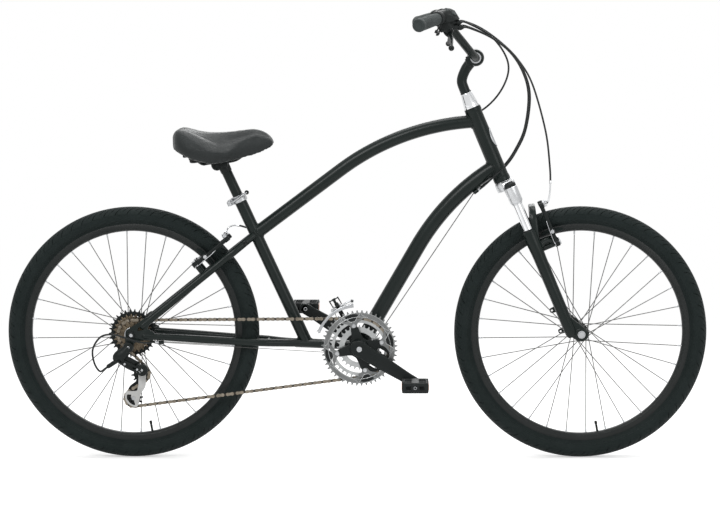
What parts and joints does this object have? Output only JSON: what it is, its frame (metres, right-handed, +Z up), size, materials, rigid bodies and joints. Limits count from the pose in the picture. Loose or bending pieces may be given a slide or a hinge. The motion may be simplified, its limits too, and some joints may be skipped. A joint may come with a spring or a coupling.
{
  "type": "comfort bicycle",
  "caption": "Upright comfort bicycle with a curved frame, swan-neck stem, swept handlebar, suspension fork, rim brakes, derailleur gears and a wide padded saddle.",
  "frame": {"origin": "On the floor, midway between the two wheel axles, in the plane of the frame", "axes": "+X forwards, +Y to the rider's left, +Z up"},
  "size_m": [1.836, 0.6772, 1.1755],
  "materials": {
    "frame_black": "gloss",
    "black_parts": "satin",
    "tyre_rubber": "matt",
    "rim_black": "satin",
    "spoke_steel": "satin",
    "chrome": "polished",
    "silver_alloy": "satin",
    "chain_bronze": "oiled",
    "saddle_vinyl": "soft",
    "grip_rubber": "matt",
    "housing_black": "satin",
    "cage_white": "gloss"
  },
  "bodies": {
    "frame": {"frame": "frame_black", "bottom_bracket": "black_parts", "headset_bearing": "silver_alloy", "rear_axle": "silver_alloy", "seat_clamp": "silver_alloy", "chain": "chain_bronze", "rear_brake_cable": "housing_black", "front_shift_cable": "housing_black", "rear_shift_cable": "housing_black"},
    "steering": {"fork_crown": "black_parts", "headset_cone": "chrome", "stem": "black_parts", "handlebar": "black_parts", "grip_right": "grip_rubber", "grip_left": "grip_rubber", "control_right": "black_parts", "control_left": "black_parts", "front_brake_cable": "housing_black"},
    "fork_lowers": {"fork_lowers": "black_parts", "front_axle": "silver_alloy"},
    "front_wheel": {"front_rim": "rim_black", "front_tyre": "tyre_rubber", "front_hub_and_spokes": "spoke_steel"},
    "rear_wheel": {"rear_rim": "rim_black", "rear_tyre": "tyre_rubber", "rear_hub_and_spokes": "spoke_steel"},
    "freewheel": {"freewheel_cogs": "chain_bronze"},
    "crank": {"chainring_outer": "silver_alloy", "chainring_middle": "silver_alloy", "chainring_inner": "silver_alloy", "crank_right": "black_parts", "crank_left": "black_parts", "crank_spindle": "silver_alloy"},
    "pedal_right": {"pedal_right": "black_parts"},
    "pedal_left": {"pedal_left": "black_parts"},
    "front_derailleur_link": {"front_derailleur_link": "black_parts"},
    "front_derailleur_cage": {"front_derailleur_cage": "silver_alloy"},
    "rear_derailleur_knuckle": {"rear_derailleur_knuckle": "black_parts"},
    "rear_derailleur_link": {"rear_derailleur_link": "black_parts"},
    "rear_derailleur_body": {"rear_derailleur_body": "black_parts"},
    "rear_derailleur_cage": {"rear_derailleur_cage": "cage_white"},
    "guide_pulley": {"guide_pulley": "black_parts"},
    "tension_pulley": {"tension_pulley": "black_parts"},
    "seatpost": {"seatpost": "black_parts", "saddle_clamp": "black_parts", "saddle_cushion": "saddle_vinyl", "saddle_base": "black_parts", "saddle_rails": "chrome"},
    "seat_clamp_lever": {"seat_clamp_lever": "silver_alloy"},
    "preload_knob_right": {"preload_knob_right": "black_parts"},
    "brake_lever_right": {"brake_lever_right": "black_parts"},
    "shift_lever_right": {"shift_lever_right": "black_parts"},
    "front_brake_arm_right": {"front_brake_arm_right": "black_parts"},
    "rear_brake_arm_right": {"rear_brake_arm_right": "black_parts"},
    "preload_knob_left": {"preload_knob_left": "black_parts"},
    "brake_lever_left": {"brake_lever_left": "black_parts"},
    "shift_lever_left": {"shift_lever_left": "black_parts"},
    "front_brake_arm_left": {"front_brake_arm_left": "black_parts"},
    "rear_brake_arm_left": {"rear_brake_arm_left": "black_parts"}
  },
  "joints": [
    {"name": "steering", "type": "hinge", "parent": "frame", "child": "steering", "pos_m": [0.3822, 0, 0.72911], "axis": [-0.3859, 0, 0.9225], "range_deg": [-55, 55], "deforming": ["rear_brake_cable", "front_shift_cable", "rear_shift_cable"]},
    {"name": "fork_travel", "type": "slide", "parent": "steering", "child": "fork_lowers", "axis": [-0.3859, 0, 0.9225], "range_m": [0, 0.05], "stiffness_N_per_m": 8000, "springref_m": -0.03, "deforming": ["front_brake_cable"]},
    {"name": "front_wheel", "type": "hinge", "parent": "fork_lowers", "child": "front_wheel", "pos_m": [0.587, 0, 0.331], "axis": [0, 1, 0], "continuous": true},
    {"name": "rear_wheel", "type": "hinge", "parent": "frame", "child": "rear_wheel", "pos_m": [-0.587, 0, 0.331], "axis": [0, 1, 0], "continuous": true},
    {"name": "crank", "type": "hinge", "parent": "frame", "child": "crank", "pos_m": [0.008, 0, 0.295], "axis": [0, 1, 0], "continuous": true, "deforming": ["chain"]},
    {"name": "freewheel", "type": "hinge", "parent": "frame", "child": "freewheel", "pos_m": [-0.587, 0, 0.331], "axis": [0, 1, 0], "continuous": true},
    {"name": "pedal_right", "type": "hinge", "parent": "crank", "child": "pedal_right", "pos_m": [0.15372, -0.092, 0.20744], "axis": [0, 1, 0], "continuous": true},
    {"name": "pedal_left", "type": "hinge", "parent": "crank", "child": "pedal_left", "pos_m": [-0.13772, 0.092, 0.38256], "axis": [0, 1, 0], "continuous": true},
    {"name": "front_derailleur_link", "type": "hinge", "parent": "frame", "child": "front_derailleur_link", "pos_m": [-0.05913, -0.0465, 0.42126], "axis": [0.8829, 0, 0.4695], "range_deg": [-20, 20]},
    {"name": "front_derailleur_cage", "type": "hinge", "parent": "front_derailleur_link", "child": "front_derailleur_cage", "pos_m": [-0.04974, -0.0465, 0.4036], "axis": [0.8829, 0, 0.4695], "range_deg": [-20, 20]},
    {"name": "rear_derailleur_hanger", "type": "hinge", "parent": "frame", "child": "rear_derailleur_knuckle", "pos_m": [-0.594, 0, 0.3], "axis": [0, 1, 0], "range_deg": [0, 20]},
    {"name": "rear_derailleur_link", "type": "hinge", "parent": "rear_derailleur_knuckle", "child": "rear_derailleur_link", "pos_m": [-0.618, -0.083, 0.27], "axis": [0.4775, 0, 0.8786], "range_deg": [-10, 21]},
    {"name": "rear_derailleur_body", "type": "hinge", "parent": "rear_derailleur_link", "child": "rear_derailleur_body", "pos_m": [-0.572, -0.07, 0.245], "axis": [0.4775, 0, 0.8786], "range_deg": [-21, 10]},
    {"name": "rear_derailleur_cage", "type": "hinge", "parent": "rear_derailleur_body", "child": "rear_derailleur_cage", "pos_m": [-0.56, 0, 0.239], "axis": [0, 1, 0], "range_deg": [-60, 30], "stiffness_Nm_per_rad": 2},
    {"name": "guide_pulley", "type": "hinge", "parent": "rear_derailleur_cage", "child": "guide_pulley", "pos_m": [-0.565, 0, 0.226], "axis": [0, 1, 0], "continuous": true},
    {"name": "tension_pulley", "type": "hinge", "parent": "rear_derailleur_cage", "child": "tension_pulley", "pos_m": [-0.585, 0, 0.162], "axis": [0, 1, 0], "continuous": true},
    {"name": "seatpost", "type": "slide", "parent": "frame", "child": "seatpost", "axis": [-0.4194, 0, 0.9078], "range_m": [-0.05, 0.05]},
    {"name": "seat_clamp_lever", "type": "hinge", "parent": "frame", "child": "seat_clamp_lever", "pos_m": [-0.33044, -0.0195, 0.66889], "axis": [0.4194, 0, -0.9078], "range_deg": [0, 110]},
    {"name": "preload_knob_right", "type": "hinge", "parent": "steering", "child": "preload_knob_right", "pos_m": [0.39732, -0.055, 0.72459], "axis": [0.3859, 0, -0.9225], "range_deg": [-180, 180]},
    {"name": "brake_lever_right", "type": "hinge", "parent": "steering", "child": "brake_lever_right", "pos_m": [0.239, -0.186, 1.12], "axis": [-0.6863, 0.2342, -0.6885], "range_deg": [0, 20], "stiffness_Nm_per_rad": 0.8, "springref_deg": -11.46, "deforming": ["rear_brake_cable"]},
    {"name": "shift_lever_right", "type": "hinge", "parent": "steering", "child": "shift_lever_right", "pos_m": [0.22181, -0.18404, 1.12845], "axis": [0.8427, -0.4064, 0.3532], "range_deg": [0, 25], "stiffness_Nm_per_rad": 0.1, "springref_deg": -8.59},
    {"name": "preload_knob_left", "type": "hinge", "parent": "steering", "child": "preload_knob_left", "pos_m": [0.39732, 0.055, 0.72459], "axis": [0.3859, 0, -0.9225], "range_deg": [-180, 180]},
    {"name": "brake_lever_left", "type": "hinge", "parent": "steering", "child": "brake_lever_left", "pos_m": [0.239, 0.186, 1.12], "axis": [0.6863, 0.2342, 0.6885], "range_deg": [0, 20], "stiffness_Nm_per_rad": 0.8, "springref_deg": -11.46, "deforming": ["front_brake_cable"]},
    {"name": "shift_lever_left", "type": "hinge", "parent": "steering", "child": "shift_lever_left", "pos_m": [0.22181, 0.18404, 1.12845], "axis": [-0.8427, -0.4064, -0.3532], "range_deg": [0, 25], "stiffness_Nm_per_rad": 0.1, "springref_deg": -8.59},
    {"name": "front_brake_arm_right", "type": "hinge", "parent": "fork_lowers", "child": "front_brake_arm_right", "pos_m": [0.51663, -0.04, 0.56659], "axis": [-0.9225, 0, -0.3859], "range_deg": [0, 2.85]},
    {"name": "rear_brake_arm_right", "type": "hinge", "parent": "frame", "child": "rear_brake_arm_right", "pos_m": [-0.41535, -0.04, 0.50768], "axis": [-0.627, 0, 0.779], "range_deg": [0, 2.85]},
    {"name": "front_brake_arm_left", "type": "hinge", "parent": "fork_lowers", "child": "front_brake_arm_left", "pos_m": [0.51663, 0.04, 0.56659], "axis": [0.9225, 0, 0.3859], "range_deg": [0, 2.85]},
    {"name": "rear_brake_arm_left", "type": "hinge", "parent": "frame", "child": "rear_brake_arm_left", "pos_m": [-0.41535, 0.04, 0.50768], "axis": [0.627, 0, -0.779], "range_deg": [0, 2.85]}
  ],
  "couplings": [
    {"joint": "freewheel", "follows": "crank", "ratio": 2.1111},
    {"joint": "guide_pulley", "follows": "crank", "ratio": -3.4545},
    {"joint": "tension_pulley", "follows": "crank", "ratio": 3.4545},
    {"joint": "front_derailleur_cage", "follows": "front_derailleur_link", "ratio": -1},
    {"joint": "rear_derailleur_body", "follows": "rear_derailleur_link", "ratio": -1},
    {"joint": "front_brake_arm_right", "follows": "brake_lever_left", "ratio": 0.14},
    {"joint": "front_brake_arm_left", "follows": "brake_lever_left", "ratio": 0.14},
    {"joint": "rear_brake_arm_right", "follows": "brake_lever_right", "ratio": 0.14},
    {"joint": "rear_brake_arm_left", "follows": "brake_lever_right", "ratio": 0.14}
  ]
}
